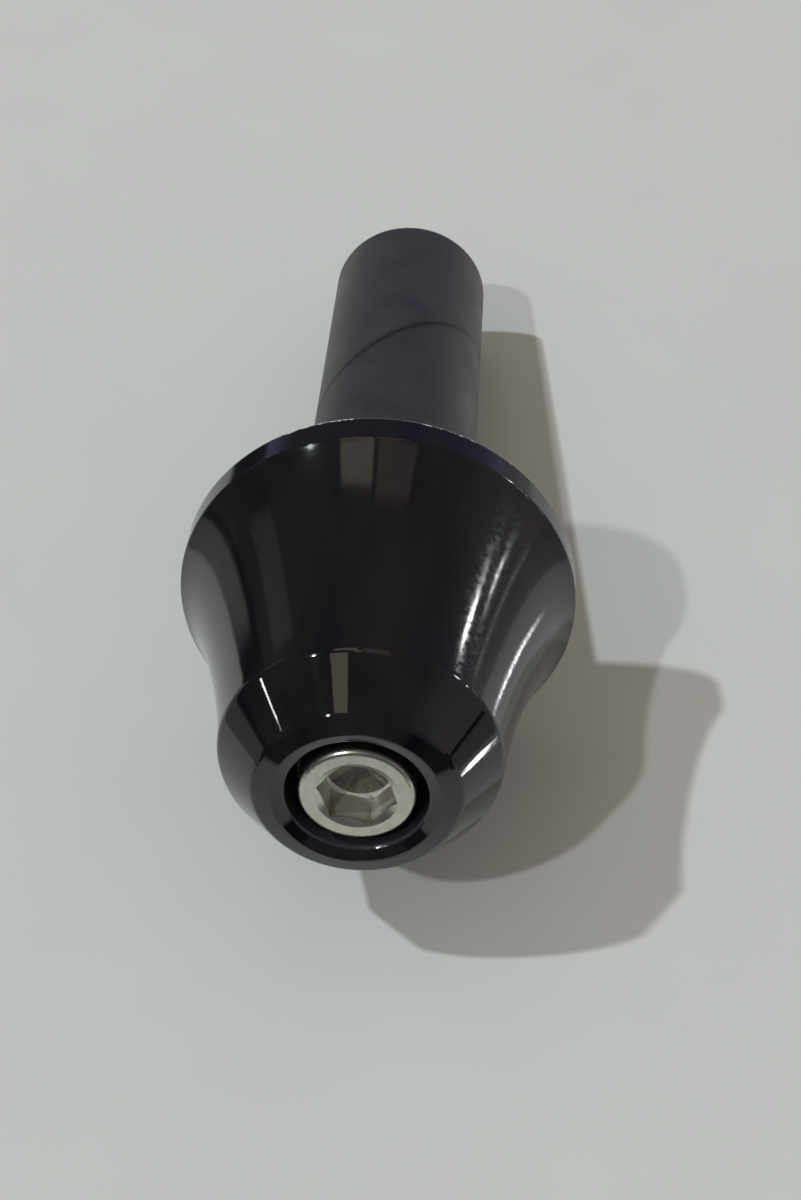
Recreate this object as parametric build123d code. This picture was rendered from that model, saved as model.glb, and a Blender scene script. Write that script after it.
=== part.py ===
from build123d import *
import math
import os

# A handlebar end weight. A flared, coated steel weight carries a sleeve that goes into the bar. The
# sleeve is cut in two by a slanted plane, and one long socket head bolt runs through it all. Turning
# the bolt draws the rear half forward, up the slant, so that the sleeve grows wider and grips the bar.
# Sizes are in millimetres. +Y runs along the axis from the nose to the sleeve, +Z is up, and the
# origin is on the axis, at the shoulder where the bar's end stops against the weight.

# Weight, outside
weight_length = 30.0
rim_diameter = 37.0
nose_diameter = 24.6
nose_length = 5.0
nose_edge_diameter = 17.7
nose_edge_drop = 0.55
nose_crest_diameter = 14.4
flare_start_angle = 3.0
flare_start_pull = 6.2
flare_end_angle = 36.0
flare_end_pull = 4.8
rim_land = 3.3
rim_front_radius = 0.5
rim_back_radius = 0.5
nose_ring_radius = 1.2
nose_edge_radius = 0.9
nose_crest_radius = 0.3

# Bolt: an M6 thread, a slim turned head and a hexagon socket
thread_diameter = 6.0
thread_pitch = 1.0
head_diameter = 10.0
head_height = 6.0
head_edge_radius = 0.5
socket_across_flats = 6.0
socket_depth = 3.3
socket_bevel = 0.15
socket_turn = 12.0
socket_floor_angle = 150.0
bolt_length = 75.0
thread_length = 24.0
bolt_tip_bevel = 0.6

# Bolt seat and bores
head_sink = 0.5
head_side_clearance = 1.05
counterbore_mouth_drop = 0.5
counterbore_edge_radius = 0.35
bolt_bore_clearance = 0.3
wedge_bore_clearance = 0.75
tapped_hole_clearance = 0.05
tapped_mouth_bevel = 0.5

# Expander sleeve
sleeve_diameter = 17.0
sleeve_length = 55.6
sleeve_end_radius = 1.0
sleeve_seat_depth = 0.5
sleeve_seat_clearance = 0.1
cut_distance = 32.0
cut_angle = 50.0
cut_gap = 0.1
cut_edge_radius = 0.25

# Places along the axis and radii that follow from the sizes above
nose_y = -weight_length
head_face_y = nose_y + head_sink
head_seat_y = head_face_y + head_height
bolt_tip_y = head_seat_y + bolt_length
thread_start_y = bolt_tip_y - thread_length
counterbore_radius = head_diameter / 2 + head_side_clearance
bolt_bore_radius = thread_diameter / 2 + bolt_bore_clearance
sleeve_radius = sleeve_diameter / 2
seat_radius = sleeve_radius + sleeve_seat_clearance
# An outside thread's root lies 0.6134 of the pitch below its crest.
thread_root_radius = thread_diameter / 2 - 0.6134 * thread_pitch


def turned(*edges_and_rounds):
    """Revolve a closed outline about the axis: corners are (radius, place along the axis, rounding)."""
    corners = [(radius, place) for radius, place, rounding in edges_and_rounds]
    outline = make_face(Polyline(*corners, close=True))
    for radius, place, rounding in edges_and_rounds:
        if rounding:
            corner = outline.vertices().sort_by_distance((radius, place, 0))[0]
            outline = fillet(corner, rounding)
    return revolve(outline, axis=Axis.Y)


def weight():
    """The weight: bevelled nose with a raised crest round the counterbore, flare, rim and sleeve seat."""
    rim_radius = rim_diameter / 2
    nose_ring = (nose_diameter / 2, nose_y + nose_length)
    nose_edge = (nose_edge_diameter / 2, nose_y + nose_edge_drop)
    nose_crest = (nose_crest_diameter / 2, nose_y)
    counterbore_mouth = (counterbore_radius, nose_y + counterbore_mouth_drop)
    rim_corner = (rim_radius, -rim_land)
    start_angle = math.radians(flare_start_angle)
    end_angle = math.radians(flare_end_angle)
    flare_start = Vector(nose_ring) + flare_start_pull * Vector(math.sin(start_angle), math.cos(start_angle))
    flare_end = Vector(rim_corner) - flare_end_pull * Vector(math.sin(end_angle), math.cos(end_angle))
    flare = Bezier(nose_ring, flare_start, flare_end, rim_corner)
    rim_to_nose = Polyline(
        rim_corner,
        (rim_radius, 0),
        (seat_radius, 0),
        (seat_radius, -sleeve_seat_depth),
        (bolt_bore_radius, -sleeve_seat_depth),
        (bolt_bore_radius, head_seat_y),
        (counterbore_radius, head_seat_y),
        counterbore_mouth,
        nose_crest,
        nose_edge,
        nose_ring,
    )
    outline = make_face([flare, rim_to_nose])
    rounds = (
        (nose_ring, nose_ring_radius),
        (nose_edge, nose_edge_radius),
        (nose_crest, nose_crest_radius),
        (counterbore_mouth, counterbore_edge_radius),
        (rim_corner, rim_front_radius),
        ((rim_radius, 0), rim_back_radius),
    )
    for (radius, place), rounding in rounds:
        corner = outline.vertices().sort_by_distance((radius, place, 0))[0]
        outline = fillet(corner, rounding)
    return revolve(outline, axis=Axis.Y)


def clamp_bolt():
    """The bolt: head with a hexagon socket, plain shank, and the threaded end at its root size."""
    head_radius = head_diameter / 2
    shank_radius = thread_diameter / 2
    bolt = turned(
        (0, head_face_y, 0),
        (head_radius, head_face_y, head_edge_radius),
        (head_radius, head_seat_y, 0),
        (shank_radius, head_seat_y, 0),
        (shank_radius, thread_start_y, 0),
        (thread_root_radius, thread_start_y, 0),
        (thread_root_radius, bolt_tip_y - bolt_tip_bevel, 0),
        (thread_root_radius - bolt_tip_bevel, bolt_tip_y, 0),
        (0, bolt_tip_y, 0),
    )
    mouth = Plane(origin=(0, head_face_y, 0), x_dir=(1, 0, 0), z_dir=(0, 1, 0))
    hexagon = RegularPolygon(socket_across_flats / 2, 6, major_radius=False, rotation=socket_turn)
    socket = extrude(mouth * hexagon, socket_depth)
    corner_radius = socket_across_flats / 2 / math.cos(math.radians(30))
    floor_radius = socket_across_flats / 2
    floor_dip = floor_radius / math.tan(math.radians(socket_floor_angle / 2))
    floor_y = head_face_y + socket_depth
    dished_floor = turned((0, floor_y, 0), (floor_radius, floor_y, 0), (0, floor_y + floor_dip, 0))
    bevel_radius = corner_radius + socket_bevel
    mouth_bevel = turned(
        (0, head_face_y, 0),
        (bevel_radius, head_face_y, 0),
        (0, head_face_y + bevel_radius * math.tan(math.radians(30)), 0),
    )
    return bolt - socket - dished_floor - mouth_bevel


def slant(shift):
    """The plane of the slanted cut, moved along the axis: it runs further back on the +X side."""
    angle = math.radians(cut_angle)
    return Plane(origin=(0, cut_distance + shift, 0), z_dir=(-math.cos(angle), math.sin(angle), 0))


def eased_at_cut(half, plane):
    """Round the long outer edge that the slanted cut leaves on a half of the sleeve."""
    cut_face = half.faces().sort_by_distance(plane.origin)[0]
    rim_edge = cut_face.outer_wire().edges()
    return fillet(rim_edge, cut_edge_radius)


def fixed_wedge():
    """The sleeve's front half: seated in the weight's back, with a clear bore for the bolt."""
    bore_radius = thread_diameter / 2 + wedge_bore_clearance
    blank = turned(
        (bore_radius, -sleeve_seat_depth, 0),
        (sleeve_radius - sleeve_seat_depth, -sleeve_seat_depth, 0),
        (sleeve_radius, 0, 0),
        (sleeve_radius, sleeve_length, 0),
        (bore_radius, sleeve_length, 0),
    )
    plane = slant(-cut_gap / 2)
    return eased_at_cut(split(blank, bisect_by=plane, keep=Keep.BOTTOM), plane)


def sliding_wedge():
    """The sleeve's rear half: tapped right through for the bolt, with a rounded rear edge."""
    bore_radius = thread_diameter / 2 + tapped_hole_clearance
    blank = turned(
        (bore_radius, 0, 0),
        (sleeve_radius, 0, 0),
        (sleeve_radius, sleeve_length, sleeve_end_radius),
        (bore_radius + tapped_mouth_bevel, sleeve_length, 0),
        (bore_radius, sleeve_length - tapped_mouth_bevel, 0),
    )
    plane = slant(cut_gap / 2)
    return eased_at_cut(split(blank, bisect_by=plane, keep=Keep.TOP), plane)


os.makedirs("parts", exist_ok=True)
for node in (weight, clamp_bolt, fixed_wedge, sliding_wedge):
    export_step(node(), f"parts/{node.__name__}.step")
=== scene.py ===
import math

import bpy
from mathutils import Matrix, Vector


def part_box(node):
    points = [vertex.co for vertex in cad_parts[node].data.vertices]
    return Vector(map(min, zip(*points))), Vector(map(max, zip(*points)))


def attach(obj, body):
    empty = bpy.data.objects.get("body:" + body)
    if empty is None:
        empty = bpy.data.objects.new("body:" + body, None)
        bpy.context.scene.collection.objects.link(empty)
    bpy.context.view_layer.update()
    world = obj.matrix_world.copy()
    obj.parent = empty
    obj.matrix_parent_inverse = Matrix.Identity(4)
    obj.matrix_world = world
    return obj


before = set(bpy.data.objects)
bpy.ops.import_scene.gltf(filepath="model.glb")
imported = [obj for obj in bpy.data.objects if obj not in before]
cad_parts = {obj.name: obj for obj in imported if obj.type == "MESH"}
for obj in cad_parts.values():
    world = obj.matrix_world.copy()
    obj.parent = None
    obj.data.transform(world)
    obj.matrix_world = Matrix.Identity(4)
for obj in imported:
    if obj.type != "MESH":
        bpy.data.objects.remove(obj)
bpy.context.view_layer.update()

# Weight: a steel bar end, turned in a lathe to a bevelled nose and a flare that opens to a wide rim.
# It is sprayed with black enamel and baked, so the fine rings left by the tool still show in the gloss.
# The bar's cut end stops against its flat back.
MM = 0.001
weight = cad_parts["weight"]
rim_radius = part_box("weight")[1].x
counterbore_radius = 6.05 * MM
counterbore_edge = 6.3 * MM


def linear(code):
    """An sRGB hex colour as linear red, green, blue and alpha."""
    parts = [int(code[i:i + 2], 16) / 255 for i in (1, 3, 5)]
    return [c / 12.92 if c <= 0.04045 else ((c + 0.055) / 1.055) ** 2.4 for c in parts] + [1.0]


def add(tree, kind, inputs, **settings):
    """Add a node with its settings. An input given as another node's output is linked, any other is set.

    A map range takes its value at 0, the old range at 1 and 2 and the new range at 3 and 4. A mix of
    colours takes the second one's share at 0 and the colours at 6 and 7, and gives the result at 2.
    """
    made = tree.nodes.new(kind)
    for name, value in settings.items():
        setattr(made, name, value)
    for socket, value in inputs.items():
        if isinstance(value, bpy.types.NodeSocket):
            tree.links.new(value, made.inputs[socket])
        else:
            made.inputs[socket].default_value = value
    return made


def finish_of(piece, material):
    """Give a piece one finish all over."""
    piece.data.materials.clear()
    piece.data.materials.append(material)


# Stoving enamel: a hard, glassy black film that follows the tool's rings, so its reflections are crisp
# round the part, drawn out along it and broken into dashes. Dull pale steel shows where the rim was knocked,
# and the same pale steel is painted along the rim's back edge as a painted highlight.
enamel = bpy.data.materials.new("black_stoving_enamel")
enamel.use_nodes = True
tree = enamel.node_tree
shader = tree.nodes["Principled BSDF"]
ring_pitch = 0.25 * MM
ring_depth = 0.0006 * MM
dash_length = 0.7 * MM
dash_pitch = 0.22 * MM
dash_depth = 0.0024 * MM
peel_size = 0.9 * MM
peel_depth = 0.002 * MM
smear_size = 4.0 * MM
smear_stretch = 0.2
chip_size = 0.32 * MM
chip_reach = 1.0 * MM
chip_spread = 7.0 * MM
cold_black = linear("#09090d")
warm_black = linear("#171413")
recess_grey = linear("#302f36")
bare_steel_and_highlight = linear("#d2d0ca")
place = add(tree, "ShaderNodeTexCoord", {}).outputs["Object"]
axes = add(tree, "ShaderNodeSeparateXYZ", {"Vector": place})
across = add(tree, "ShaderNodeVectorMath", {0: place, 1: (1, 0, 1)}, operation="MULTIPLY")
radius = add(tree, "ShaderNodeVectorMath", {0: across.outputs["Vector"]}, operation="LENGTH")
# The radius plus the place along the axis grows steadily from the counterbore's mouth to the rim.
profile = add(tree, "ShaderNodeMath", {0: radius.outputs["Value"], 1: axes.outputs["Y"]}, operation="ADD")
phase = add(tree, "ShaderNodeMath", {0: profile.outputs[0], 1: 2 * math.pi / ring_pitch},
            operation="MULTIPLY")
groove = add(tree, "ShaderNodeMath", {0: phase.outputs[0]}, operation="SINE")
wander = add(tree, "ShaderNodeTexNoise",
             {"W": profile.outputs[0], "Scale": 0.8 / ring_pitch, "Detail": 3.0}, noise_dimensions="1D")
rings = add(tree, "ShaderNodeMath", {0: groove.outputs[0], 1: wander.outputs["Fac"]}, operation="MULTIPLY")
# Short scores along the rings, some bright and some dull, break a bright reflection into dashes. They
# are deepest on the right flank, hardly there on the nose, and drawn wider than real ones so that they show.
drawn = add(tree, "ShaderNodeVectorMath", {0: place, 1: (1, dash_length / dash_pitch, 1)},
            operation="MULTIPLY")
scores = add(tree, "ShaderNodeTexNoise",
             {"Vector": drawn.outputs["Vector"], "Scale": 1 / dash_length, "Detail": 2.0})
peel = add(tree, "ShaderNodeTexNoise", {"Vector": place, "Scale": 1 / peel_size, "Detail": 1.0})
flank = add(tree, "ShaderNodeMapRange", {0: axes.outputs["X"], 1: 3 * MM, 2: 8 * MM, 3: 0.1, 4: 1})
behind_nose = add(tree, "ShaderNodeMapRange",
                  {0: axes.outputs["Y"], 1: -26 * MM, 2: -24 * MM, 3: 0.2, 4: 1})
scuffed = add(tree, "ShaderNodeMath", {0: flank.outputs[0], 1: behind_nose.outputs[0]},
              operation="MULTIPLY")
scored = add(tree, "ShaderNodeBump", {"Height": scores.outputs["Fac"], "Strength": scuffed.outputs[0],
                                      "Distance": dash_depth})
turned = add(tree, "ShaderNodeBump", {"Height": rings.outputs[0], "Distance": ring_depth,
                                      "Normal": scored.outputs["Normal"]})
skin = add(tree, "ShaderNodeBump", {"Height": peel.outputs["Fac"], "Distance": peel_depth,
                                    "Normal": turned.outputs["Normal"]})
tree.links.new(skin.outputs["Normal"], shader.inputs["Normal"])
wiped = add(tree, "ShaderNodeVectorMath", {0: place, 1: (1, smear_stretch, 1)}, operation="MULTIPLY")
smear = add(tree, "ShaderNodeTexNoise",
            {"Vector": wiped.outputs["Vector"], "Scale": 1 / smear_size, "Detail": 4.0})
# The film is glossiest on the nose, and dull in the scores.
dulled = add(tree, "ShaderNodeMapRange", {0: scores.outputs["Fac"], 1: 0.47, 2: 0.55, 3: 0, 4: 0.11})
even = add(tree, "ShaderNodeMapRange", {0: axes.outputs["Y"], 1: -26 * MM, 2: -22 * MM, 3: 0.05, 4: 0.07})
gloss = add(tree, "ShaderNodeMath", {0: dulled.outputs[0], 1: scuffed.outputs[0], 2: even.outputs[0]},
            operation="MULTIPLY_ADD")
round_axis = add(tree, "ShaderNodeTangent", {}, direction_type="RADIAL", axis="Y")
tree.links.new(round_axis.outputs["Tangent"], shader.inputs["Tangent"])
shader.inputs["Anisotropic"].default_value = 0.7
shader.inputs["Anisotropic Rotation"].default_value = 0.25
haze = add(tree, "ShaderNodeMapRange", {0: smear.outputs["Fac"], 1: 0.38, 2: 0.62, 3: 0, 4: 1})
film = add(tree, "ShaderNodeMix", {0: haze.outputs[0], 6: cold_black, 7: warm_black}, data_type="RGBA")
# In the counterbore the film is greyer.
recess = add(tree, "ShaderNodeMapRange", {0: radius.outputs["Value"], 1: counterbore_radius,
                                          2: counterbore_edge, 3: 1, 4: 0})
coat = add(tree, "ShaderNodeMix", {0: recess.outputs[0], 6: film.outputs[2], 7: recess_grey},
           data_type="RGBA")
off_edge = add(tree, "ShaderNodeMath", {0: radius.outputs["Value"], 1: rim_radius}, operation="SUBTRACT")
from_edge = add(tree, "ShaderNodeCombineXYZ", {"X": off_edge.outputs[0], "Y": axes.outputs["Y"]})
distance = add(tree, "ShaderNodeVectorMath", {0: from_edge.outputs[0]}, operation="LENGTH")
near = add(tree, "ShaderNodeMapRange", {0: distance.outputs["Value"], 1: 0.3 * chip_reach, 2: chip_reach,
                                        3: 1, 4: 0})
knocks = add(tree, "ShaderNodeTexNoise", {"Vector": place, "Scale": 1 / chip_size, "Detail": 2.0})
# Besides a few chips anywhere, two arcs of the back edge are painted pale all along. They are partly knocked
# paint and partly a painted highlight where the edge catches the lamps: a stronger one left of the top, and
# one at the right. Each has its middle, counted from the top, and half its width, in radians.
angle = add(tree, "ShaderNodeMath", {0: axes.outputs["X"], 1: axes.outputs["Z"]}, operation="ARCTAN2")
left_arc = add(tree, "ShaderNodeMath", {0: angle.outputs[0], 1: -0.29, 2: 0.18}, operation="COMPARE")
right_arc = add(tree, "ShaderNodeMath", {0: angle.outputs[0], 1: 1.04, 2: 0.43}, operation="COMPARE")
struck = add(tree, "ShaderNodeMath", {0: near.outputs[0], 1: knocks.outputs["Fac"]}, operation="MULTIPLY")
harder = add(tree, "ShaderNodeMath", {0: left_arc.outputs[0], 1: 0.07, 2: struck.outputs[0]},
             operation="MULTIPLY_ADD")
chips = add(tree, "ShaderNodeMapRange", {0: harder.outputs[0], 1: 0.42, 2: 0.47, 3: 0, 4: 1})
knocked = add(tree, "ShaderNodeTexNoise", {"Vector": place, "Scale": 1 / chip_spread, "Detail": 1.0})
arcs = add(tree, "ShaderNodeMapRange", {0: knocked.outputs["Fac"], 1: 0.52, 2: 0.58, 3: 0, 4: 1})
chipped_highlight_arcs = add(tree, "ShaderNodeMath", {0: left_arc.outputs[0], 1: right_arc.outputs[0]}, operation="MAXIMUM")
arcs_and_patches = add(tree, "ShaderNodeMath", {0: chipped_highlight_arcs.outputs[0], 1: arcs.outputs[0]}, operation="MAXIMUM")
chips_and_highlights = add(tree, "ShaderNodeMath", {0: chips.outputs[0], 1: arcs_and_patches.outputs[0]}, operation="MULTIPLY")
# Pale steel is painted into the chips, and along the two arcs as a painted highlight.
colour = add(tree, "ShaderNodeMix", {0: chips_and_highlights.outputs[0], 6: coat.outputs[2], 7: bare_steel_and_highlight},
             data_type="RGBA")
tree.links.new(colour.outputs[2], shader.inputs["Base Color"])
worn = add(tree, "ShaderNodeMath", {0: chips_and_highlights.outputs[0], 1: 0.4, 2: gloss.outputs[0]},
           operation="MULTIPLY_ADD")
tree.links.new(worn.outputs[0], shader.inputs["Roughness"])
shader.inputs["IOR"].default_value = 1.65
finish_of(weight, enamel)

# Sleeve, front half: a steel tube that goes into the bar, cut off by a slanted plane at its far end.
# It is turned, blackened in hot salts and oiled. It sits in a shallow seat in the weight's back.
front_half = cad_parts["fixed_wedge"]
sleeve_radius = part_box("fixed_wedge")[1].x
cut_angle = math.radians(50.0)
cut_place = 32.0 * MM

# Black oxide on turned steel: a thin blue-black film, satin and a little uneven where the oil has dried.
# The tool's rings are fine and shallow, and painted shade darkens the edges of the slanted cut along the
# seam.
oxide = bpy.data.materials.new("black_oxide_steel")
oxide.use_nodes = True
tree = oxide.node_tree
shader = tree.nodes["Principled BSDF"]
mottle_size = 4.5 * MM
grain_size = 0.25 * MM
fine_pitch = 0.3 * MM
fine_depth = 0.006 * MM
seam_shade_near = 0.2 * MM
seam_shade_far = 0.8 * MM
blue_black = linear("#181826")
worn_black = linear("#3c3b39")
seam_shade_black = linear("#0e0e11")
place = add(tree, "ShaderNodeTexCoord", {}).outputs["Object"]
axes = add(tree, "ShaderNodeSeparateXYZ", {"Vector": place})
mottle = add(tree, "ShaderNodeTexNoise",
             {"Vector": place, "Scale": 1 / mottle_size, "Detail": 5.0, "Roughness": 0.6})
film = add(tree, "ShaderNodeMix", {0: mottle.outputs["Fac"], 6: blue_black, 7: worn_black},
           data_type="RGBA")
# The place across the slanted cut, counted from the cut's own plane.
slant = add(tree, "ShaderNodeVectorMath", {0: place, 1: (-math.cos(cut_angle), math.sin(cut_angle), 0)},
            operation="DOT_PRODUCT")
off_cut = add(tree, "ShaderNodeMath", {0: slant.outputs["Value"], 1: cut_place * math.sin(cut_angle)},
              operation="SUBTRACT")
gap = add(tree, "ShaderNodeMath", {0: off_cut.outputs[0]}, operation="ABSOLUTE")
edge = add(tree, "ShaderNodeMapRange", {0: gap.outputs[0], 1: seam_shade_near, 2: seam_shade_far, 3: 1.6, 4: 0})
grain = add(tree, "ShaderNodeTexNoise", {"Vector": place, "Scale": 1 / grain_size, "Detail": 3.0})
# Painted shade along the seam between the two halves, broken up by the grain.
seam_shade = add(tree, "ShaderNodeMath", {0: edge.outputs[0], 1: grain.outputs["Fac"]}, operation="MULTIPLY")
colour = add(tree, "ShaderNodeMix", {0: seam_shade.outputs[0], 6: film.outputs[2], 7: seam_shade_black},
             data_type="RGBA")
tree.links.new(colour.outputs[2], shader.inputs["Base Color"])
satin = add(tree, "ShaderNodeMapRange", {0: mottle.outputs["Fac"], 1: 0.3, 2: 0.7, 3: 0.38, 4: 0.52})
tree.links.new(satin.outputs[0], shader.inputs["Roughness"])
phase = add(tree, "ShaderNodeMath", {0: axes.outputs["Y"], 1: 2 * math.pi / fine_pitch},
            operation="MULTIPLY")
groove = add(tree, "ShaderNodeMath", {0: phase.outputs[0]}, operation="SINE")
height = add(tree, "ShaderNodeMath", {0: groove.outputs[0], 1: 0.4, 2: grain.outputs["Fac"]},
             operation="MULTIPLY_ADD")
relief = add(tree, "ShaderNodeBump", {"Height": height.outputs[0], "Distance": fine_depth})
tree.links.new(relief.outputs["Normal"], shader.inputs["Normal"])
shader.inputs["IOR"].default_value = 1.7
finish_of(front_half, oxide)

# Sleeve, rear half: the same blackened tube, with the matching slant at its front end and a rounded back.
# It is tapped through for the bolt, which draws it up the slant until the sleeve jams in the bar.
rear_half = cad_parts["sliding_wedge"]
finish_of(rear_half, oxide)

# The crests of its tapped thread, cut as one spiral in the open mouth behind the bolt's tip. They run out
# into the hole's wall at both ends.
thread_pitch = 1.0 * MM
hole_radius = 3.07 * MM
crest_radius = 2.52 * MM
root_half = 0.44
crest_half = 0.06
thread_start = 53.0 * MM
thread_turns = 2.0
steps = 72
run_out_steps = 9
section = ((hole_radius, -root_half), (crest_radius, -crest_half),
           (crest_radius, crest_half), (hole_radius, root_half))
corners = []
faces = []
rows = int(thread_turns * steps) + 1
for row in range(rows):
    angle = 2 * math.pi * row / steps
    run_out = min(1.0, row / run_out_steps, (rows - 1 - row) / run_out_steps)
    for reach, along in section:
        out = hole_radius - (hole_radius - reach) * run_out
        y = thread_start + thread_pitch * (row / steps + along)
        corners.append((out * math.sin(angle), y, out * math.cos(angle)))
for row in range(rows - 1):
    for side in range(len(section) - 1):
        a = row * len(section) + side
        b = a + len(section)
        faces.append((a, a + 1, b + 1, b))
spiral = bpy.data.meshes.new("tapped_thread")
spiral.from_pydata(corners, [], faces)
spiral.shade_smooth()
tapped_thread = bpy.data.objects.new("tapped_thread", spiral)
bpy.context.scene.collection.objects.link(tapped_thread)
finish_of(tapped_thread, oxide)
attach(tapped_thread, "wedge")

# Bolt: one long socket head screw in stainless steel, which goes through the weight and the sleeve.
# Its head sits almost flush in the nose's counterbore, where a hexagon key turns it.
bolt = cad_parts["clamp_bolt"]
head_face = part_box("clamp_bolt")[0].y

# Stainless steel: warm grey metal with a dull shine. The faced end shows rings from the facing tool, here
# at 0.24 mm, coarser than the real ones so that they show. The punched socket is duller, with dried oil, and
# is painted darker as shade, with painted highlights on its floor.
stainless = bpy.data.materials.new("stainless_steel")
stainless.use_nodes = True
tree = stainless.node_tree
shader = tree.nodes["Principled BSDF"]
facing_pitch = 0.24 * MM
facing_depth = 0.006 * MM
stain_size = 1.2 * MM
streaks_per_radian = 7.0
clean_steel = linear("#d9d8cd")
stained_steel = linear("#c2c1b5")
shaded_socket_steel = linear("#b8b6ac")
dark_streak = linear("#2c2925")
pale_streak = linear("#b2aea4")
painted_fold_highlight = linear("#ffffff")
place = add(tree, "ShaderNodeTexCoord", {}).outputs["Object"]
axes = add(tree, "ShaderNodeSeparateXYZ", {"Vector": place})
across = add(tree, "ShaderNodeVectorMath", {0: place, 1: (1, 0, 1)}, operation="MULTIPLY")
radius = add(tree, "ShaderNodeVectorMath", {0: across.outputs["Vector"]}, operation="LENGTH")
profile = add(tree, "ShaderNodeMath", {0: radius.outputs["Value"], 1: axes.outputs["Y"]}, operation="ADD")
phase = add(tree, "ShaderNodeMath", {0: profile.outputs[0], 1: 2 * math.pi / facing_pitch},
            operation="MULTIPLY")
groove = add(tree, "ShaderNodeMath", {0: phase.outputs[0]}, operation="SINE")
wander = add(tree, "ShaderNodeTexNoise",
             {"W": profile.outputs[0], "Scale": 1 / facing_pitch, "Detail": 2.0}, noise_dimensions="1D")
rings = add(tree, "ShaderNodeMath", {0: groove.outputs[0], 1: wander.outputs["Fac"]}, operation="MULTIPLY")
relief = add(tree, "ShaderNodeBump", {"Height": rings.outputs[0], "Distance": facing_depth})
tree.links.new(relief.outputs["Normal"], shader.inputs["Normal"])
stain = add(tree, "ShaderNodeTexNoise",
            {"Vector": place, "Scale": 1 / stain_size, "Detail": 4.0, "Roughness": 0.6})
metal = add(tree, "ShaderNodeMix", {0: stain.outputs["Fac"], 6: clean_steel, 7: stained_steel},
            data_type="RGBA")
depth = add(tree, "ShaderNodeMath", {0: axes.outputs["Y"], 1: head_face}, operation="SUBTRACT")
inside = add(tree, "ShaderNodeMapRange",
             {0: radius.outputs["Value"], 1: 3.2 * MM, 2: 3.5 * MM, 3: 1, 4: 0})
sunk = add(tree, "ShaderNodeMapRange", {0: depth.outputs[0], 1: 0.2 * MM, 2: 1.4 * MM, 3: 0, 4: 1})
socket_mask = add(tree, "ShaderNodeMath", {0: inside.outputs[0], 1: sunk.outputs[0]}, operation="MULTIPLY")
# The punch left a fan of streaks on the socket's floor, painted dark and pale as painted shade and painted
# highlights, and a white painted highlight runs where the floor meets the walls.
turn = add(tree, "ShaderNodeMath", {0: axes.outputs["X"], 1: axes.outputs["Z"]}, operation="ARCTAN2")
fan = add(tree, "ShaderNodeTexNoise",
          {"W": turn.outputs[0], "Scale": streaks_per_radian, "Detail": 3.0}, noise_dimensions="1D")
bottom = add(tree, "ShaderNodeMix", {0: fan.outputs["Fac"], 6: dark_streak, 7: pale_streak},
             data_type="RGBA")
floor = add(tree, "ShaderNodeMapRange", {0: depth.outputs[0], 1: 3.28 * MM, 2: 3.34 * MM, 3: 0, 4: 1})
fold = add(tree, "ShaderNodeMath", {0: depth.outputs[0], 1: 3.27 * MM, 2: 0.07 * MM}, operation="COMPARE")
sides = add(tree, "ShaderNodeMix", {0: floor.outputs[0], 6: shaded_socket_steel, 7: bottom.outputs[2]},
            data_type="RGBA")
lit = add(tree, "ShaderNodeMix", {0: fold.outputs[0], 6: sides.outputs[2], 7: painted_fold_highlight},
          data_type="RGBA")
# Inside the socket, painted shade, painted highlights and dried oil take the place of the faced steel's
# colour.
colour = add(tree, "ShaderNodeMix", {0: socket_mask.outputs[0], 6: metal.outputs[2], 7: lit.outputs[2]},
             data_type="RGBA")
tree.links.new(colour.outputs[2], shader.inputs["Base Color"])
dull = add(tree, "ShaderNodeMapRange", {0: stain.outputs["Fac"], 1: 0.3, 2: 0.7, 3: 0.22, 4: 0.36})
tree.links.new(dull.outputs[0], shader.inputs["Roughness"])
# Under the oil the socket counts as half metal.
bright = add(tree, "ShaderNodeMath", {0: socket_mask.outputs[0], 1: -0.5, 2: 1.0}, operation="MULTIPLY_ADD")
tree.links.new(bright.outputs[0], shader.inputs["Metallic"])
finish_of(bolt, stainless)

# Table: a pale board that the part lies on, touching it with its rim and with the sleeve's far end.
# It leans against the part's own axis for that, and it is clear from below.
sleeve_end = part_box("sliding_wedge")[1].y
lean = math.atan2(rim_radius - sleeve_radius, sleeve_end)
board_half = 2.0
board = bpy.data.meshes.new("table")
board.from_pydata([(-board_half, -board_half, 0), (board_half, -board_half, 0),
                   (board_half, board_half, 0), (-board_half, board_half, 0)], [], [(0, 1, 2, 3)])
table = bpy.data.objects.new("table", board)
table.location = (0, 0, -rim_radius)
table.rotation_euler = (lean, 0, 0)
bpy.context.scene.collection.objects.link(table)

# Matt laminate: pale grey and softly clouded, with a grain too fine to see. In reflections the board ends
# beside the part and in front of it, and a grey floor goes on, dark in front and far out at the left.
laminate = bpy.data.materials.new("pale_laminate")
laminate.use_nodes = True
tree = laminate.node_tree
shader = tree.nodes["Principled BSDF"]
cloud_size = 18 * MM
pale_grey = linear("#c8cac9")
paler_grey = linear("#ced1cf")
floor_grey = linear("#96939a")
floor_dark = linear("#2a2730")
place = add(tree, "ShaderNodeTexCoord", {}).outputs["Object"]
cloud = add(tree, "ShaderNodeTexNoise", {"Vector": place, "Scale": 1 / cloud_size, "Detail": 4.0})
pale = add(tree, "ShaderNodeMix", {0: cloud.outputs["Fac"], 6: pale_grey, 7: paler_grey}, data_type="RGBA")
axes = add(tree, "ShaderNodeSeparateXYZ", {"Vector": place})
left = add(tree, "ShaderNodeMapRange", {0: axes.outputs["X"], 1: -77 * MM, 2: -72 * MM, 3: 1, 4: 0})
right = add(tree, "ShaderNodeMapRange", {0: axes.outputs["X"], 1: 88 * MM, 2: 94 * MM, 3: 0, 4: 1})
front = add(tree, "ShaderNodeMapRange", {0: axes.outputs["Y"], 1: -100 * MM, 2: -86 * MM, 3: 1, 4: 0})
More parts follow.
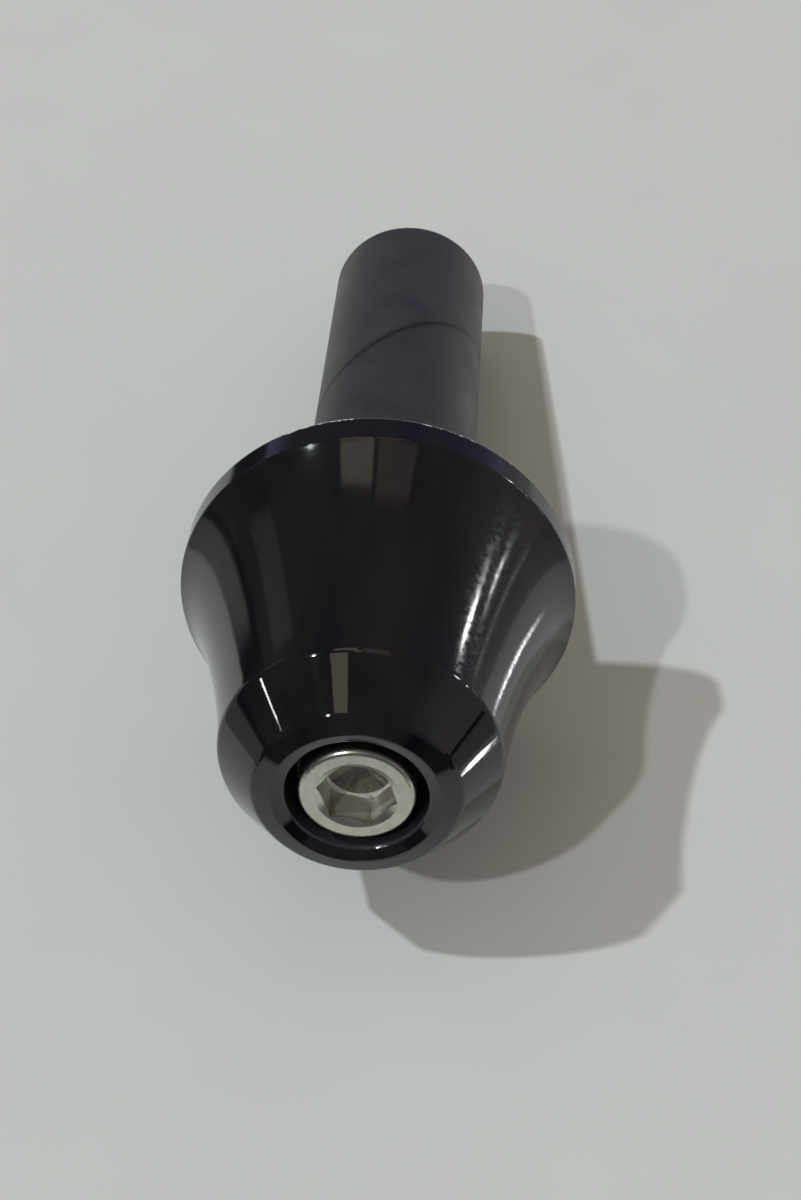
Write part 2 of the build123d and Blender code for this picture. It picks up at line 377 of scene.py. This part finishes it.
sides = add(tree, "ShaderNodeMath", {0: left.outputs[0], 1: right.outputs[0]}, operation="MAXIMUM")
beyond = add(tree, "ShaderNodeMath", {0: sides.outputs[0], 1: front.outputs[0]}, operation="MAXIMUM")
far = add(tree, "ShaderNodeMapRange", {0: axes.outputs["X"], 1: -320 * MM, 2: -220 * MM, 3: 1, 4: 0})
# The floor is dark too behind a slanting line at the left.
behind = add(tree, "ShaderNodeVectorMath", {0: place, 1: (0.7, 1, 0)}, operation="DOT_PRODUCT")
corner = add(tree, "ShaderNodeMapRange",
             {0: behind.outputs["Value"], 1: -22 * MM, 2: -16 * MM, 3: 0, 4: 1})
left_corner = add(tree, "ShaderNodeMath", {0: corner.outputs[0], 1: left.outputs[0]}, operation="MULTIPLY")
ends = add(tree, "ShaderNodeMath", {0: far.outputs[0], 1: front.outputs[0]}, operation="MAXIMUM")
dark = add(tree, "ShaderNodeMath", {0: ends.outputs[0], 1: left_corner.outputs[0]}, operation="MAXIMUM")
floor = add(tree, "ShaderNodeMix", {0: dark.outputs[0], 6: floor_grey, 7: floor_dark}, data_type="RGBA")
ray = add(tree, "ShaderNodeLightPath", {})
hidden = add(tree, "ShaderNodeMath", {0: beyond.outputs[0], 1: ray.outputs["Is Glossy Ray"]},
             operation="MULTIPLY")
colour = add(tree, "ShaderNodeMix", {0: hidden.outputs[0], 6: pale.outputs[2], 7: floor.outputs[2]},
             data_type="RGBA")
tree.links.new(colour.outputs[2], shader.inputs["Base Color"])
shader.inputs["Roughness"].default_value = 0.6
shader.inputs["Specular IOR Level"].default_value = 0.0
side = add(tree, "ShaderNodeNewGeometry", {})
clear = add(tree, "ShaderNodeBsdfTransparent", {})
either = add(tree, "ShaderNodeMixShader",
             {0: side.outputs["Backfacing"], 1: shader.outputs[0], 2: clear.outputs[0]})
tree.links.new(either.outputs[0], tree.nodes["Material Output"].inputs["Surface"])
finish_of(table, laminate)

# Light: two small lamps to the left give the crossed shadows, and warm panels overhead and in front fill.
# Cards and strips at the sides show only as glints in the gloss.
warm_white = "#ffebd3"


def lamp(name, place, aim, watts, width, height=0.0, colour="#ffffff", glint=False):
    """An area lamp, in metres, facing an aim: a disk if no height is given, otherwise a level rectangle."""
    light = bpy.data.lights.new(name, "AREA")
    light.energy = watts
    light.color = linear(colour)[:3]
    light.shape = "RECTANGLE" if height else "DISK"
    light.size = width
    if height:
        light.size_y = height
    made = bpy.data.objects.new(name, light)
    made.location = place
    made.rotation_euler = (Vector(aim) - Vector(place)).to_track_quat("-Z", "Y").to_euler()
    made.visible_camera = False
    if glint:
        made.visible_diffuse = False
    bpy.context.scene.collection.objects.link(made)
    return made


def strip(name, start, end, aim, width, watts):
    """A glint strip between two points in millimetres, turned about its own length towards the aim."""
    start, end, aim = Vector(start) * MM, Vector(end) * MM, Vector(aim) * MM
    made = lamp(name, (start + end) / 2, aim, watts, (end - start).length, width * MM, glint=True)
    along = (end - start).normalized()
    back = (start + end) / 2 - aim
    back = (back - back.dot(along) * along).normalized()
    up = back.cross(along)
    made.rotation_euler = Matrix((along, up, back)).transposed().to_euler()


lamp("key_lamp", (-2.184, -0.860, 3.240), (0, 0, 0), 68.8, 0.12, colour="#eefbff")
lamp("second_lamp", (-1.676, -2.440, 2.692), (0, 0, 0), 37.6, 0.12)
lamp("ceiling_panel_left", (-0.127, 0.004, 0.6), (-0.127, 0.004, 0), 0.078, 0.17, 0.236, warm_white)
lamp("ceiling_panel_right", (0.076, 0.015, 0.6), (0.076, 0.015, 0), 0.040, 0.19, 0.27, "#ffe0c8")
lamp("front_panel", (-0.190, -0.30, 0.6), (-0.190, -0.30, 0), 0.046, 0.14, 0.12, warm_white)
lamp("left_card", (-0.79, 0.47, 0.37), (0, 0, 0), 0.026, 0.34, 0.24, glint=True)
lamp("left_glint", (-0.937, -0.222, 0.268), (0, 0, 0), 0.07, 0.026, glint=True)
strip("long_strip", (201, 121, 82.8), (214, 107.5, 81), (9, -19, 10), 8, 0.026)
strip("far_strip", (228.5, 100, 57), (233.5, 92.5, 57.5), (11, -12, 10), 6, 0.0065)
strip("dim_strip", (201, 138.8, 13.3), (249, 77.6, 16.9), (11, -14, 8), 10, 0.0012)
near_glint = lamp("near_glint", (0.0458, 0.0135, -0.0156), (0.0129, -0.0168, 0.0043), 0.0000013, 0.0034,
                  glint=True)
near_glint.data.spread = math.radians(12)
strip("right_glint", (65, -29.2, -22), (65, -27.2, -22), (10, -28, 3), 5, 0.0016)

# Room: dim and plain. As it is seen and mirrored, it is dark, brighter far to the right, with a pale wall
# low at the back. Its tints are linear, because the blue one goes above white.
plain_tint = (1.0, 0.88, 1.0, 1)
blue_tint = (0.72, 0.76, 1.25, 1)
warm_fill = (1.0, 0.92, 0.82, 1.0)
fill_level = 0.325
world = bpy.data.worlds.new("warm_room")
bpy.context.scene.world = world
world.use_nodes = True
tree = world.node_tree
way = add(tree, "ShaderNodeTexCoord", {}).outputs["Generated"]
axes = add(tree, "ShaderNodeSeparateXYZ", {"Vector": way})
tilt = add(tree, "ShaderNodeMath", {0: axes.outputs["X"], 1: 0.04, 2: 0.1}, operation="MULTIPLY_ADD")
window = add(tree, "ShaderNodeMapRange", {0: axes.outputs["X"], 1: 0.65, 2: 0.9, 3: 0, 4: 0.14})
low_back = add(tree, "ShaderNodeVectorMath", {0: way, 1: (0, 1, -1)}, operation="DOT_PRODUCT")
wall = add(tree, "ShaderNodeMapRange", {0: low_back.outputs["Value"], 1: 0.55, 2: 0.75, 3: 0, 4: 0.4})
sides = add(tree, "ShaderNodeMath", {0: tilt.outputs[0], 1: window.outputs[0]}, operation="ADD")
seen = add(tree, "ShaderNodeMath", {0: sides.outputs[0], 1: wall.outputs[0]}, operation="ADD")
room = tree.nodes["Background"]
blue = add(tree, "ShaderNodeMapRange", {0: axes.outputs["Y"], 1: 0.55, 2: 0.85, 3: 0, 4: 1})
tint = add(tree, "ShaderNodeMix", {0: blue.outputs[0], 6: plain_tint, 7: blue_tint}, data_type="RGBA")
tree.links.new(tint.outputs[2], room.inputs["Color"])
tree.links.new(seen.outputs[0], room.inputs["Strength"])
# Matt surfaces get its even, warm fill, a little stronger from the front and from the right.
towards = add(tree, "ShaderNodeVectorMath", {0: way, 1: (0.06, -0.14, 0)}, operation="DOT_PRODUCT")
level = add(tree, "ShaderNodeMath", {0: towards.outputs["Value"], 1: fill_level}, operation="ADD")
fill = add(tree, "ShaderNodeBackground", {"Color": warm_fill, "Strength": level.outputs[0]})
ray = add(tree, "ShaderNodeLightPath", {})
either = add(tree, "ShaderNodeMixShader",
             {0: ray.outputs["Is Diffuse Ray"], 1: room.outputs[0], 2: fill.outputs[0]})
tree.links.new(either.outputs[0], tree.nodes["World Output"].inputs["Surface"])

# Camera: the photograph's own view, from above and in front of the nose, in a frame of 801 by 1200.
# The sensor's width goes with the frame's longer side, which is its height.
sensor = 36.0
frame_height = 1200
focal_pixels = 2000
pitch, yaw = 0.6654, -0.0570
lens = bpy.data.cameras.new("camera")
lens.sensor_width = sensor
lens.lens = focal_pixels / frame_height * sensor
lens.clip_start = 0.005
camera = bpy.data.objects.new("camera", lens)
bpy.context.scene.collection.objects.link(camera)
camera.location = Vector((10.531, -149.93, 115.606)) * MM
forward = Vector((math.sin(yaw) * math.cos(pitch), math.cos(yaw) * math.cos(pitch), -math.sin(pitch)))
camera.rotation_euler = forward.to_track_quat("-Z", "Y").to_euler()
bpy.context.scene.camera = camera
bpy.context.scene.view_settings.view_transform = "Standard"
